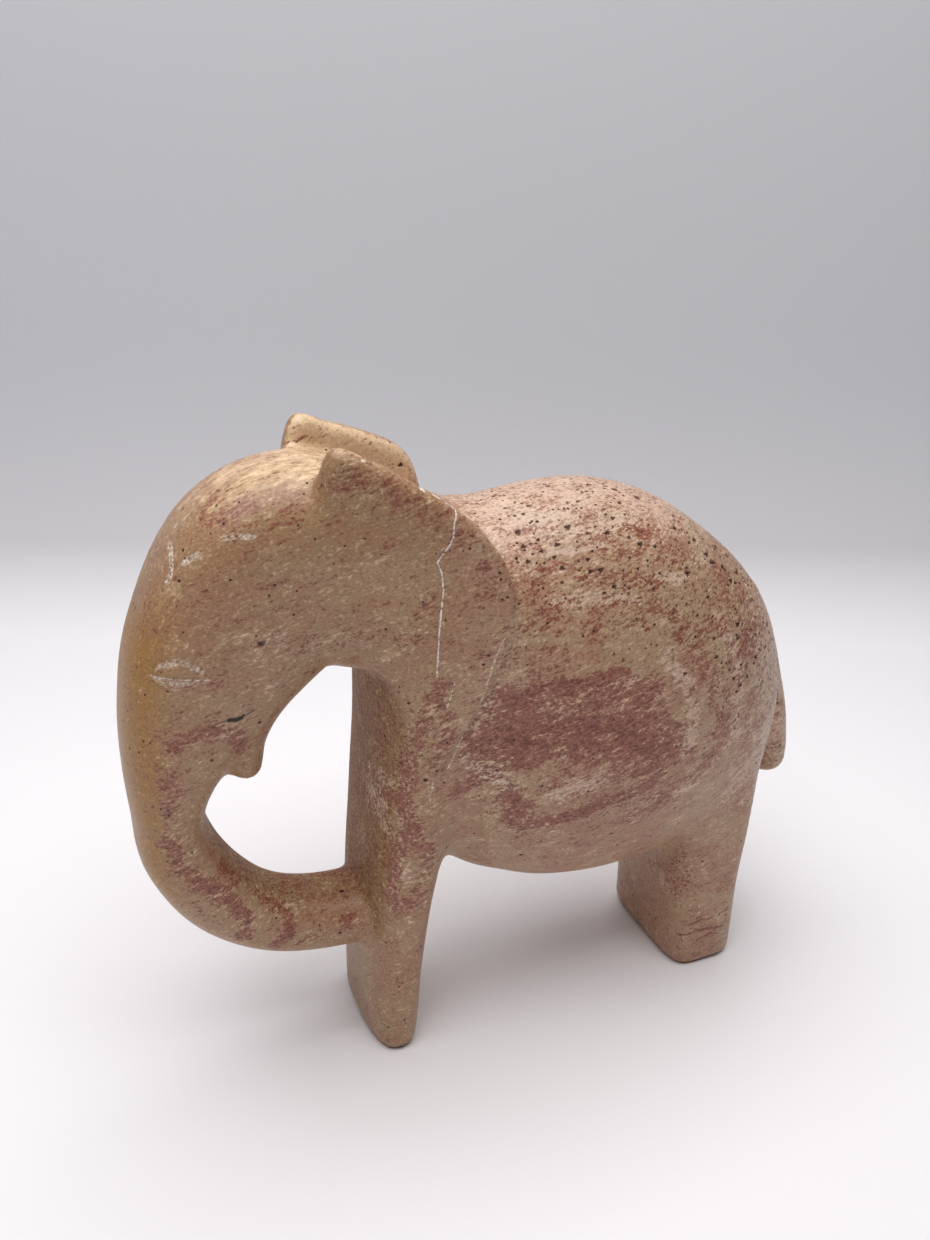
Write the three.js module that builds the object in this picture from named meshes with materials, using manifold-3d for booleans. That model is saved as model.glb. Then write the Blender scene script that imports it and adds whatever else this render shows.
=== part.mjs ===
// Elephant figurine carved from one block of soft stone, in millimetres.
// It faces -Y and stands on Z = 0. X = 0 is its plane of symmetry.
// The stone is a field, negative inside, made of limbs that are carried along
// smooth lines in the side view and run softly into each other.
import * as THREE from 'three';
import { mergeVertices } from 'three/addons/utils/BufferGeometryUtils.js';
import Module from 'manifold-3d';

const HEIGHT = 126; // soles to the tops of the ears
const GIRTH = 46; // across the flanks, the widest place
const EAR_THICKNESS = 4.8; // above the crown, where an ear stands free
const EAR_ROUNDING = 1.1; // worn rim of an ear
const EAR_FLARE = 0.22; // how far an ear's face leans out for each mm towards its rear edge
const SOLE_ROUNDING = 1.7; // worn rim of the soles
const FACET = 3.3; // size of the facets

// The pose is drawn on a figure 126 high and 46 wide, and follows HEIGHT and GIRTH.
const TALL = HEIGHT / 126;
const BROAD = GIRTH / 46;
const MIDDLE = 6.6 * TALL; // half-way between trunk and tail, where the origin lies

// Stations along each limb: y, z, half its thickness in the side view,
// half its width across, and how full its section is (2 round, 5 nearly square).
const HEAD_AND_TRUNK = [
  [-14, 98, 15, 16.6, 3],
  [-26.8, 103.9, 17.8, 14.6, 3],
  [-36.6, 102.8, 18.3, 13.9, 3],
  [-46.1, 91.4, 15.5, 13.4, 2.7],
  [-52.2, 80.7, 11.9, 12.6, 2.5],
  [-56.4, 70, 8.2, 11.4, 2.3],
  [-57.9, 60.5, 6.3, 10.2, 2.3],
  [-56.5, 50.8, 6.9, 9.5, 2.3],
  [-51, 40.6, 7.1, 8.8, 2.3],
  [-43, 33.3, 6.7, 8.3, 2.3],
  [-33, 29.4, 6.6, 8.1, 2.3],
  [-20, 28.3, 6.5, 8.1, 2.3],
];
const LOWER_LIP = [
  [-42.2, 85, 5.8, 11.5, 2.3],
  [-43.8, 76, 4.4, 10, 2.3],
  [-44.2, 69.7, 3.6, 8.5, 2.3],
];
// The two front legs are one slab, and so are the two hind legs.
const FRONT_LEGS = [
  [-6, 94, 14.5, 18, 3],
  [-11, 74, 9.1, 17.4, 2.8],
  [-14.6, 50, 7.4, 16.2, 2.7],
  [-17.8, 25, 6.1, 14.7, 2.7],
  [-19.1, 0, 5.1, 13.9, 2.7],
  [-19.5, -8, 4.9, 13.7, 2.7],
];
const HIND_LEGS = [
  [50, 62, 15.6, 16.4, 3],
  [53, 40, 11.3, 15.6, 3.6],
  [52.9, 20, 8.9, 15, 4.2],
  [52.9, 0, 8.2, 15, 4.6],
  [53, -8, 8, 15, 4.6],
];
const TAIL = [
  [62, 84, 2, 3, 2.2],
  [67.4, 72, 3, 4.5, 2.2],
  [71.6, 58, 3.9, 5.2, 2.2],
  [73.2, 47, 4.4, 5.6, 2.2],
  [73.4, 42.6, 4.4, 5.6, 2.2],
];

// Outline of the barrel of the body in the side view, from the neck over the back.
const BODY_MIDDLE = [28, 70];
const BODY_OUTLINE = [
  [-16, 108],
  [2, 110.8],
  [14, 112.2],
  [26, 111.8],
  [38, 107.9],
  [49, 100.6],
  [59.6, 90.6],
  [66.6, 79],
  [69.5, 66],
  [68.5, 54],
  [63, 43.5],
  [54, 34.5],
  [42, 29.4],
  [28, 27.6],
  [14, 29],
  [4, 32.8],
  [-6, 39],
  [-14, 52],
  [-18, 80],
];
const BODY_FULLNESS = 2.3;

// Outline of an ear in the side view, from its front top corner backwards.
const EAR_OUTLINE = [
  [-28.4, 126],
  [-20, 124.6],
  [-11, 120.2],
  [-3.6, 114.2],
  [0.5, 106.5],
  [-0.2, 95],
  [-3.2, 84.5],
  [-7.6, 75],
  [-13.5, 67.6],
  [-16.8, 72],
  [-19.5, 84],
  [-26.5, 96],
  [-31, 113],
];
const CHEEK = { y: -30, x: 13.6 }; // where an ear's face starts, flush with the cheek

/** Passes a smooth line through rows of numbers, every column alike. */
function eased(rows, steps, closed = false) {
  const last = rows.length - 1;
  const row = (i) => {
    if (closed) return rows[(i + rows.length) % rows.length];
    if (i < 0) return rows[0].map((v, k) => 2 * v - rows[1][k]);
    if (i > last) return rows[last].map((v, k) => 2 * v - rows[last - 1][k]);
    return rows[i];
  };
  const line = [];
  for (let i = 0; i < last + (closed ? 1 : 0); i++) {
    const [a, b, c, d] = [row(i - 1), row(i), row(i + 1), row(i + 2)];
    for (let s = 0; s < steps; s++) {
      const t = s / steps;
      line.push(b.map((v, k) => v
        + 0.5 * t * (c[k] - a[k]
          + t * (2 * a[k] - 5 * v + 4 * c[k] - d[k] + t * (3 * v - a[k] - 3 * c[k] + d[k])))));
    }
  }
  line.push(closed ? line[0] : rows[last]);
  return line;
}

/** Nearest place on one stretch of a line: how far along it, and the distance. */
function nearest(y, z, a, b) {
  const [dy, dz] = [b[0] - a[0], b[1] - a[1]];
  const along = ((y - a[0]) * dy + (z - a[1]) * dz) / (dy * dy + dz * dz);
  const t = THREE.MathUtils.clamp(along, 0, 1);
  return [t, Math.hypot(y - a[0] - t * dy, z - a[1] - t * dz)];
}

/** Distance to a rounded section of half sizes a and b, close to its surface. */
function section(u, v, a, b, fullness) {
  const p = Math.abs(u) / a + 1e-6;
  const q = Math.abs(v) / b + 1e-6;
  const size = (p ** fullness + q ** fullness) ** (1 / fullness);
  const slope = Math.hypot(p ** (fullness - 1) / a, q ** (fullness - 1) / b);
  return (size - 1) / (size ** (1 - fullness) * slope);
}

/** Joins two fields with a fillet that is k wide. */
function join(a, b, k) {
  const h = Math.max(k - Math.abs(a - b), 0) / k;
  return Math.min(a, b) - 0.25 * h * h * k;
}

/** Keeps what two fields share, with their edge rounded over a width of k. */
function share(a, b, k) {
  return -join(-a, -b, k);
}

/** Field of one limb. */
function limb(stations) {
  const line = eased(stations, 8).map(([y, z, half, wide, fullness]) => [
    y * TALL, z * TALL, half * TALL, wide * BROAD, fullness,
  ]);
  return (x, y, z) => {
    let best = Infinity;
    let found;
    for (let i = 1; i < line.length; i++) {
      const [a, b] = [line[i - 1], line[i]];
      const [t, distance] = nearest(y, z, a, b);
      const mix = (k) => a[k] + t * (b[k] - a[k]);
      const gap = distance - mix(2);
      if (gap < best) {
        best = gap;
        found = [distance, x, mix(2), mix(3), mix(4)];
      }
    }
    return section(...found);
  };
}

/** Field of the barrel of the body: its outline seen from the side, rounded across. */
function barrel() {
  const rays = eased(BODY_OUTLINE, 8, true).map(([y, z]) => {
    const [dy, dz] = [(y - BODY_MIDDLE[0]) * TALL, (z - BODY_MIDDLE[1]) * TALL];
    return [Math.atan2(dz, dy), Math.hypot(dy, dz)];
  });
  rays.pop();
  rays.sort((a, b) => a[0] - b[0]);
  rays.unshift([rays.at(-1)[0] - 2 * Math.PI, rays.at(-1)[1]]);
  rays.push([rays[1][0] + 2 * Math.PI, rays[1][1]]);
  return (x, y, z) => {
    const [dy, dz] = [y - BODY_MIDDLE[0] * TALL, z - BODY_MIDDLE[1] * TALL];
    const angle = Math.atan2(dz, dy);
    const i = rays.findIndex((ray) => ray[0] >= angle);
    const [a, b] = [rays[Math.max(i, 1) - 1], rays[Math.max(i, 1)]];
    const radius = THREE.MathUtils.mapLinear(angle, a[0], b[0], a[1], b[1]);
    return section(Math.hypot(dy, dz), x, radius, GIRTH / 2, BODY_FULLNESS);
  };
}

/** Field of the whole stone but its ears. */
function carving() {
  const [trunk, lip, front] = [limb(HEAD_AND_TRUNK), limb(LOWER_LIP), limb(FRONT_LEGS)];
  const [body, hind, tail] = [barrel(), limb(HIND_LEGS), limb(TAIL)];
  return (across, along, z) => {
    const x = Math.abs(across);
    const y = along + MIDDLE;
    const head = join(join(trunk(x, y, z), lip(x, y, z), 2.8), front(x, y, z), 2.4);
    const rear = join(join(body(x, y, z), hind(x, y, z), 3.6), tail(x, y, z), 4);
    return share(join(head, rear, 6), -z - 0.3, 2 * SOLE_ROUNDING);
  };
}

/** Direction in which a field grows, at a point. */
function outward(field, [x, y, z]) {
  const h = 0.05;
  return new THREE.Vector3(
    field(x + h, y, z) - field(x - h, y, z),
    field(x, y + h, z) - field(x, y - h, z),
    field(x, y, z + h) - field(x, y, z - h),
  ).normalize();
}

/** Facets a field on a grid: a corner in each cell that the surface passes, a quad at each crossing. */
function faceted(field, low, counts) {
  const at = (i, j, k) => (i * counts[1] + j) * counts[2] + k;
  const place = (i, j, k) => [low[0] + i * FACET, low[1] + j * FACET, low[2] + k * FACET];
  const values = new Float64Array(counts[0] * counts[1] * counts[2]);
  const eachCell = (visit) => {
    for (let i = 0; i < counts[0] - 1; i++) {
      for (let j = 0; j < counts[1] - 1; j++) {
        for (let k = 0; k < counts[2] - 1; k++) visit(i, j, k);
      }
    }
  };
  for (let n = 0; n < values.length; n++) {
    const k = n % counts[2];
    const j = Math.floor(n / counts[2]) % counts[1];
    values[n] = field(...place(Math.floor(n / counts[2] / counts[1]), j, k));
  }

  // Where the surface crosses the grid's lines, with its direction there.
  const steps = [[1, 0, 0], [0, 1, 0], [0, 0, 1]];
  const crossings = steps.map(() => new Map());
  const crossing = (i, j, k, way) => {
    const [a, b] = [at(i, j, k), at(i + steps[way][0], j + steps[way][1], k + steps[way][2])];
    if (values[a] < 0 === values[b] < 0) return null;
    if (!crossings[way].has(a)) {
      const point = place(i, j, k);
      point[way] += (FACET * values[a]) / (values[a] - values[b]);
      crossings[way].set(a, { point: new THREE.Vector3(...point), out: outward(field, point) });
    }
    return crossings[way].get(a);
  };

  // One corner to a cell, moved until it lies on every crossing's tangent plane.
  const corners = new Map();
  const positions = [];
  eachCell((i, j, k) => {
    const met = [];
    for (const [u, v] of [[0, 0], [1, 0], [0, 1], [1, 1]]) {
      met.push(crossing(i, j + u, k + v, 0), crossing(i + u, j, k + v, 1), crossing(i + u, j + v, k, 2));
    }
    const hits = met.filter(Boolean);
    if (hits.length === 0) return;
    const corner = new THREE.Vector3();
    for (const { point } of hits) corner.addScaledVector(point, 1 / hits.length);
    for (let round = 0; round < 30; round++) {
      for (const { point, out } of hits) {
        corner.addScaledVector(out, (0.3 * (point.dot(out) - corner.dot(out))));
      }
    }
    const [least, most] = [place(i, j, k), place(i + 1, j + 1, k + 1)];
    corner.clamp(new THREE.Vector3(...least), new THREE.Vector3(...most));
    corners.set(at(i, j, k), positions.length / 3);
    positions.push(corner.x, corner.y, corner.z);
  });

  const triangles = [];
  for (let way = 0; way < 3; way++) {
    const [step, u, v] = [steps[way], steps[(way + 1) % 3], steps[(way + 2) % 3]];
    eachCell((i, j, k) => {
      const [a, b] = [at(i, j, k), at(i + step[0], j + step[1], k + step[2])];
      if (values[a] < 0 === values[b] < 0) return;
      const cell = (s, t) => corners.get(
        at(i - s * u[0] - t * v[0], j - s * u[1] - t * v[1], k - s * u[2] - t * v[2]),
      );
      const quad = [cell(1, 1), cell(0, 1), cell(0, 0), cell(1, 0)];
      if (values[a] > 0) quad.reverse();
      triangles.push(quad[0], quad[1], quad[2], quad[0], quad[2], quad[3]);
    });
  }
  return { positions, triangles };
}

const wasm = await Module();
wasm.setup();

/** Turns corners and triangles into a solid. */
function solid(positions, triangles) {
  return new wasm.Manifold(new wasm.Mesh({
    numProp: 3,
    vertProperties: Float32Array.from(positions),
    triVerts: Uint32Array.from(triangles),
  }));
}

/** Turns a closed geometry into a solid, with its corners merged. */
function welded(geometry) {
  geometry.deleteAttribute('normal');
  geometry.deleteAttribute('uv');
  const merged = mergeVertices(geometry);
  return solid(merged.attributes.position.array, merged.index.array);
}

/** One ear: a leaf that starts flush with the cheek and flares to its rear edge. */
function ear(side) {
  const points = eased(EAR_OUTLINE, 4, true).slice(1);
  const outline = new THREE.Shape(points.map(([y, z]) => new THREE.Vector2(y * TALL, z * TALL)));
  const leaf = new THREE.ExtrudeGeometry(outline, {
    depth: EAR_THICKNESS - 2 * EAR_ROUNDING,
    bevelThickness: EAR_ROUNDING,
    bevelSize: EAR_ROUNDING,
    bevelOffset: -EAR_ROUNDING,
    bevelSegments: 2,
    steps: 1,
  });
  const { position } = leaf.attributes;
  const flat = position.clone();
  const count = position.count;
  for (let n = 0; n < count; n++) {
    // The left ear's corners are taken backwards, so that its faces still point out.
    const corner = new THREE.Vector3().fromBufferAttribute(flat, side > 0 ? n : count - 1 - n);
    const face = CHEEK.x * BROAD + EAR_FLARE * (corner.x - CHEEK.y * TALL);
    const x = face - EAR_THICKNESS + EAR_ROUNDING + corner.z;
    position.setXYZ(n, side * x, corner.x - MIDDLE, corner.y);
  }
  return welded(leaf);
}

/** The ground as a solid slab, whose top is Z = 0. */
function ground() {
  const deep = HEIGHT / 4;
  return welded(new THREE.BoxGeometry(2 * HEIGHT, 2 * HEIGHT, deep).translate(0, 0, -deep / 2));
}

/** The whole stone, with its soles cut flat. */
function figure() {
  const rows = [HEAD_AND_TRUNK, LOWER_LIP, FRONT_LEGS, HIND_LEGS, TAIL].flat();
  const reach = [
    GIRTH / 2,
    Math.max(...rows.map(([y, , half]) => Math.abs(y * TALL - MIDDLE) + half * TALL)),
    Math.max(...rows.map(([, z, half]) => (z + half) * TALL)),
  ];
  const across = 2 * Math.ceil(reach[0] / FACET + 1) + 1;
  const along = 2 * Math.ceil(reach[1] / FACET + 1) + 1;
  const up = Math.ceil(reach[2] / FACET) + 4;
  const low = [(-(across - 1) / 2) * FACET, (-(along - 1) / 2) * FACET, -1.5 * FACET];
  const { positions, triangles } = faceted(carving(), low, [across, along, up]);
  const whole = solid(positions, triangles).add(ear(1)).add(ear(-1)).subtract(ground());
  const mesh = whole.getMesh();
  const geometry = new THREE.BufferGeometry();
  geometry.setAttribute('position', new THREE.BufferAttribute(mesh.vertProperties, 3));
  geometry.setIndex(new THREE.BufferAttribute(mesh.triVerts, 1));
  geometry.computeVertexNormals();
  return geometry;
}

const stone = new THREE.MeshStandardMaterial({ color: 0xb39384, roughness: 0.42, metalness: 0 });
const elephant = new THREE.Mesh(figure(), stone);
elephant.name = 'elephant';

const group = new THREE.Group();
group.add(elephant);

export default group;
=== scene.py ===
"""An elephant figurine carved from one block of soft stone and polished by hand.

The stone is a field, negative inside, made of limbs that are carried along smooth
lines in the side view and run softly into each other. Its surface is meshed on a fine
grid, and finer still where the eyes, scratches and pits are. Lengths inside the
functions are millimetres, drawn for a figure 126.7 mm high with its head towards -Y,
and are turned to metres at the end.
"""

import math

import bpy
import numpy as np
from mathutils import Matrix, Vector


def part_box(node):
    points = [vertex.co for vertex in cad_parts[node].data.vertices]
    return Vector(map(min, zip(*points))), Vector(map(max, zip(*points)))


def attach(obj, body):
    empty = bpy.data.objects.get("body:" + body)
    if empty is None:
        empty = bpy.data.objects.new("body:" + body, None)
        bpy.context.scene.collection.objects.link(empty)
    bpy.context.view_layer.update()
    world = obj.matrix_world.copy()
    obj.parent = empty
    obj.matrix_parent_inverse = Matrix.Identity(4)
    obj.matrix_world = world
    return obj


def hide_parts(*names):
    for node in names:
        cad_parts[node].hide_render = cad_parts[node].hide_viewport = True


bl_info = {
    "name": "Carved Stone Elephant",
    "version": (1, 0, 0),
    "blender": (4, 5, 0),
    "location": "3D View > Sidebar > Elephant",
    "description": "Makes a polished soapstone elephant figurine and its studio",
    "category": "Add Mesh",
}

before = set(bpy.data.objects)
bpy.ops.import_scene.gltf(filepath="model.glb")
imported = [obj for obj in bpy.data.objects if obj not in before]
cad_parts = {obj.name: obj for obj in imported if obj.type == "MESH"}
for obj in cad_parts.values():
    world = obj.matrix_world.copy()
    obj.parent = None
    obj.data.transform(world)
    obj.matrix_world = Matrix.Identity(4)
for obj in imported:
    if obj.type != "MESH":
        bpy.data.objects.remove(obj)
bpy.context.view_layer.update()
LOW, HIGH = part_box("elephant")

DRAWN_HEIGHT = 126.7
DRAWN_GIRTH = 46.0
MIDDLE = 6.6  # how far the frame's origin lies behind the drawing's

# Stations along each limb: y, z, half its thickness in the side view,
# half its width across, and how full its section is (2 round, 5 nearly square).
LIMBS = {
    "trunk": [
        (-14, 98, 15, 16.6, 3), (-26.8, 103.9, 17.8, 14.6, 3), (-36.6, 102.8, 18.3, 13.9, 3),
        (-46.1, 91.4, 15.5, 13.4, 2.7), (-52.2, 80.7, 11.9, 12.6, 2.5), (-56.4, 70, 8.2, 11.4, 2.3),
        (-57.9, 60.5, 6.3, 10.2, 2.3), (-56.5, 50.8, 6.9, 9.5, 2.3), (-51, 40.6, 7.1, 8.8, 2.3),
        (-43, 33.3, 6.7, 8.3, 2.3), (-33, 29.4, 6.6, 8.1, 2.3), (-20, 28.3, 6.5, 8.1, 2.3),
    ],
    "lip": [(-42.2, 85, 5.8, 11.5, 2.3), (-43.8, 76, 4.4, 10, 2.3), (-44.2, 69.7, 3.6, 8.5, 2.3)],
    "front": [
        (-6, 94, 14.5, 18, 3), (-11, 74, 9.1, 17.4, 2.8), (-14.6, 50, 7.4, 16.2, 2.7),
        (-17.8, 25, 6.1, 14.7, 2.7), (-19.1, 0, 5.1, 13.9, 2.7), (-19.5, -8, 4.9, 13.7, 2.7),
    ],
    "hind": [
        (50, 62, 15.6, 16.4, 3), (53, 40, 11.3, 15.6, 3.6), (52.9, 20, 8.9, 15, 4.2),
        (52.9, 0, 8.2, 15, 4.6), (53, -8, 8, 15, 4.6),
    ],
    "tail": [
        (62, 84, 2, 3, 2.2), (67.4, 72, 3, 4.5, 2.2), (71.6, 58, 3.9, 5.2, 2.2),
        (73.2, 47, 4.4, 5.6, 2.2), (73.4, 42.6, 4.4, 5.6, 2.2),
    ],
}
BODY_MIDDLE = (28, 70)
BODY_OUTLINE = [
    (-16, 108), (2, 110.8), (14, 112.2), (26, 111.8), (38, 107.9), (49, 100.6), (59.6, 90.6),
    (66.6, 79), (69.5, 66), (68.5, 54), (63, 43.5), (54, 34.5), (42, 29.4), (28, 27.6),
    (14, 29), (4, 32.8), (-6, 39), (-14, 52), (-18, 80),
]
BODY_FULLNESS = 2.3
# The carver left the ears a little different: the near one droops to a long curve behind, and
# the far one keeps a squarer corner.
EARS = {
    "near_ear": [
        (-28.4, 126), (-22, 124.6), (-16.7, 121.5), (-10.1, 117.2), (-4.6, 112.4), (-0.4, 106.4),
        (1.1, 100), (0.2, 92.6), (-3.2, 83.5), (-7.6, 75), (-13.5, 67.6), (-16.8, 72), (-19.5, 84),
        (-26.5, 96), (-31, 113),
    ],
    "far_ear": [
        (-28.4, 126), (-21, 124.2), (-14, 121.4), (-7.6, 118), (-4, 113.4), (-1.8, 105), (-1.6, 95),
        (-3.4, 84.5), (-7.6, 75), (-13.5, 67.6), (-16.8, 72), (-19.5, 84), (-26.5, 96), (-31, 113),
    ],
}
CHEEK = (-30, 13.6)  # y and x where an ear's face starts, flush with the cheek
EAR_FLARE = 0.22  # how far an ear's face leans out for each mm towards its rear edge
EAR_ROUNDING = 2.6

# Lines drawn on the stone in the side view: side (1 near, -1 far, 0 both), half width,
# depth, whiteness (negative is black), and their points.
MARKS = [
    # Upper lid: a soft rubbed band under a fine line.
    (0, 0.66, 0.05, 0.38, [(-57.4, 93.8), (-55.2, 94.8), (-53.0, 94.1), (-51.2, 92.5)]),
    (0, 0.12, 0.04, 0.34, [(-58.3, 92.9), (-57.0, 94.6), (-55.4, 95.4), (-53.4, 95.1), (-51.4, 93.3)]),
    # Lower lid: a rubbed crescent between two fine lines.
    (0, 0.62, 0.07, 0.40, [(-58.2, 91.7), (-56.6, 91.1), (-54.6, 90.8), (-52.4, 91.0)]),
    (0, 0.13, 0.06, 0.60, [(-59.1, 92.1), (-57.1, 91.9), (-54.1, 91.6), (-50.2, 91.1)]),
    (0, 0.12, 0.06, 0.44, [(-58.5, 91.5), (-57.4, 90.6), (-55.8, 89.9), (-53.5, 90.1), (-50.8, 90.9)]),
    # Crack down the near ear.
    (1, 0.14, 0.12, 1.0, [
        (-8.9, 116.0), (-9.6, 114.2), (-9.8, 111.6), (-10.5, 110.1), (-11.8, 108.4), (-12.4, 107.4),
        (-11.7, 105.6), (-11.5, 102.6), (-11.9, 99.8), (-12.4, 95.2), (-12.6, 90.6), (-12.8, 86.6),
    ]),
    (1, 0.10, 0.06, 0.70, [(-9.8, 85.4), (-10.3, 82.9), (-11.1, 80.2)]),
    # Worn line along the near ear's rear edge.
    (1, 0.12, 0.03, 0.55, [(-1.2, 93.0), (-2.3, 90.5), (-3.4, 87.4)]),
    (1, 0.12, 0.03, 0.52, [(-3.5, 86.8), (-5.0, 80.8), (-6.9, 75.6), (-8.6, 71.4), (-10.4, 67.6)]),
    (1, 0.12, 0.03, 0.50, [(-10.4, 67.6), (-13.2, 65.2), (-13.8, 61.0)]),
    # Scuffs on the forehead.
    (1, 0.60, 0.03, 0.44, [(-45.4, 114.1), (-43.4, 114.4), (-41.2, 114.3)]),
    (1, 0.50, 0.03, 0.42, [(-52.0, 110.0), (-50.8, 111.0), (-49.6, 111.8)]),
    (1, 0.30, 0.03, 0.44, [(-52.6, 113.2), (-53.2, 111.2), (-53.8, 108.6), (-54.6, 106.8)]),
    (1, 0.11, 0.03, 0.70, [(-53.6, 109.0), (-54.0, 107.6), (-54.9, 106.8)]),
    # Pale smudges on the cheek, and rubbed stone behind the ear's tip.
    (1, 1.9, 0.0, 0.24, [(-42.0, 95.8), (-38.0, 96.6)]),
    (1, 1.4, 0.0, 0.18, [(-24.6, 93.6), (-21.6, 94.2)]),
    (1, 2.2, 0.0, 0.24, [(-5.4, 66.4), (1.6, 61.6)]),
    # Black mark on the jaw and a dark nick on the trunk.
    (1, 0.46, 0.08, -1.0, [(-47.7, 83.0), (-46.4, 82.7), (-45.6, 82.9)]),
    (1, 0.14, 0.05, -0.80, [(-48.7, 82.9), (-45.2, 83.1), (-43.3, 84.0)]),
    (1, 0.16, 0.04, -0.40, [(-61.8, 78.8), (-60.9, 79.6), (-60.0, 80.8)]),
    # Chips on the near ear's upper rim.
    (1, 0.24, 0.14, 0.80, [(-14.5, 120.0), (-13.9, 119.6)]),
    (1, 0.14, 0.08, 0.80, [(-12.4, 118.8), (-11.2, 118.0)]),
    (1, 0.12, 0.06, 0.70, [(-10.4, 117.4), (-8.6, 116.0)]),
    (1, 0.18, 0.08, 0.55, [(-23.9, 125.1), (-23.3, 124.9)]),
]

# Veins of colour in the side view: side (1 near, -1 far), half width, strength and their points.
# The photograph shows the near side; the far side has plainer ones of its own.
RUST = [
    # The dark swirl on the flank, and the ring under it.
    (1, 3.4, 0.9, [(-1, 79), (9, 80), (21, 79), (28, 77)]),
    (1, 5.4, 1.05, [(-2, 71), (10, 72), (26, 69), (30, 66)]),
    (1, 0.4, 1.3, [(5, 82.4), (8, 82.9), (13, 82.6), (17, 81.2)]),
    (1, 1.2, 0.9, [(15, 83), (21, 83), (25, 80)]),
    (1, 3.2, 0.85, [(22, 64), (28, 62), (31, 64)]),
    (1, 1.6, 0.95, [(32, 60), (27, 56), (19, 55), (11, 53), (3, 52)]),
    (1, 3.4, 0.85, [(1, 59), (3, 55)]),
    (1, 1.8, 0.7, [(-9, 62), (-4, 63), (-1, 66)]),
    (1, 9.0, 0.35, [(2, 84), (14, 66), (28, 62)]),
    # Arcs round it, over the rump and the back.
    (1, 2.6, 0.62, [(34, 90), (39, 83), (43, 75)]),
    (1, 2.4, 0.55, [(45, 71), (45, 62), (40, 57), (34, 53), (26, 50)]),
    (1, 2.2, 0.50, [(20, 92), (30, 92), (34, 91)]),
    (1, 2.4, 0.48, [(-1, 92), (3, 94), (6, 95)]),
    (1, 1.6, 0.45, [(13, 92), (23, 92)]),
    (1, 1.8, 0.55, [(2, 102), (8, 102), (14, 101), (18, 100), (23, 99), (29, 97)]),
    (1, 0.9, 0.55, [(7, 106), (14, 107), (20, 107), (27, 107), (30, 105)]),
    (1, 0.5, 0.7, [(6, 108.3), (10.5, 108.3), (14, 108.6)]),
    (1, 1.8, 0.45, [(19, 105), (30, 103), (38, 99), (46, 95), (53, 88)]),
    (1, 2.6, 0.46, [(47, 91), (51, 85), (54, 80)]),
    (1, 3.6, 0.34, [(4, 98), (20, 96), (34, 95), (44, 88), (50, 78)]),
    (1, 1.2, 0.35, [(53, 70), (53, 63), (52, 54)]),
    # Front leg.
    (1, 2.0, 0.78, [(-12, 84), (-15, 78), (-17, 73), (-18, 66), (-18, 61), (-17, 55)]),
    (1, 1.8, 0.68, [(-11, 79), (-11, 74), (-13, 69)]),
    (1, 1.8, 0.78, [(-18, 53), (-20, 49), (-21, 42), (-20, 38)]),
    (1, 1.6, 0.76, [(-17, 54), (-14, 50), (-14, 45), (-16, 39), (-19, 37)]),
    (1, 1.8, 0.4, [(-21, 72), (-21, 63)]),
    # Trunk and jaw.
    (1, 1.5, 1.0, [(-59, 60), (-58, 54), (-55, 50), (-52, 46), (-49, 42), (-47, 38), (-48, 34)]),
    (1, 1.1, 0.95, [(-50, 50), (-45, 44), (-42, 39), (-39, 36), (-39, 33), (-42, 30)]),
    (1, 1.3, 0.8, [(-28, 31), (-26, 30)]),
    (1, 0.8, 0.8, [(-43, 42), (-36, 37), (-30, 35.5)]),
    (1, 0.8, 0.7, [(-38, 29), (-33, 30)]),
    (1, 1.4, 0.8, [(-57, 79), (-54, 81), (-51, 82), (-47, 80), (-46, 76)]),
    (1, 1.8, 0.5, [(-59, 75), (-58, 69), (-59, 62)]),
    # Brow, cheek and ear.
    (1, 2.2, 0.34, [(-47, 117), (-42, 117.6), (-35, 117)]),
    (1, 1.6, 0.4, [(-35, 93), (-32, 95), (-27, 95)]),
    (1, 1.8, 0.4, [(-18, 93), (-15, 97), (-14, 102)]),
    (1, 2.6, 0.5, [(-26, 122), (-21, 120), (-15, 117)]),
    (1, 2.4, 0.35, [(-12, 115), (-5, 109), (-3, 102)]),
    # Hind leg, with wavy lines on the foot.
    (1, 1.6, 0.4, [(46, 30), (45, 20)]),
    (1, 0.25, 1.0, [(47, 11.5), (50.5, 12.6), (53, 12.2), (57, 13.4)]),
    (1, 0.25, 1.0, [(46, 8.6), (49.5, 9.8), (53, 9.6), (56.5, 9)]),
    (1, 0.22, 0.9, [(50, 7.2), (53, 7.8), (55.5, 7.4)]),
    # Far side.
    (-1, 4.2, 0.95, [(4, 70), (14, 73), (24, 72)]),
    (-1, 3.0, 0.85, [(20, 65), (31, 66)]),
    (-1, 7.0, 0.35, [(6, 80), (22, 76), (34, 68)]),
    (-1, 1.8, 0.7, [(0, 58), (10, 55), (20, 57)]),
    (-1, 2.2, 0.6, [(38, 88), (44, 81), (46, 74)]),
    (-1, 1.2, 0.6, [(8, 97), (20, 99), (30, 97)]),
    (-1, 0.9, 0.6, [(12, 105), (26, 104)]),
    (-1, 2.4, 0.5, [(48, 66), (44, 58)]),
    (-1, 1.8, 0.8, [(-12, 82), (-16, 70), (-17, 58)]),
    (-1, 1.5, 0.7, [(-17, 50), (-18, 40)]),
    (-1, 1.4, 0.85, [(-58, 54), (-52, 45), (-46, 37)]),
    (-1, 1.0, 0.7, [(-41, 38), (-36, 31)]),
    (-1, 1.5, 0.6, [(-54, 82), (-46, 84)]),
    (-1, 2.2, 0.4, [(-22, 112), (-8, 106)]),
    (-1, 0.3, 0.9, [(47, 12), (52, 13.4), (57, 12)]),
]
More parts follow.
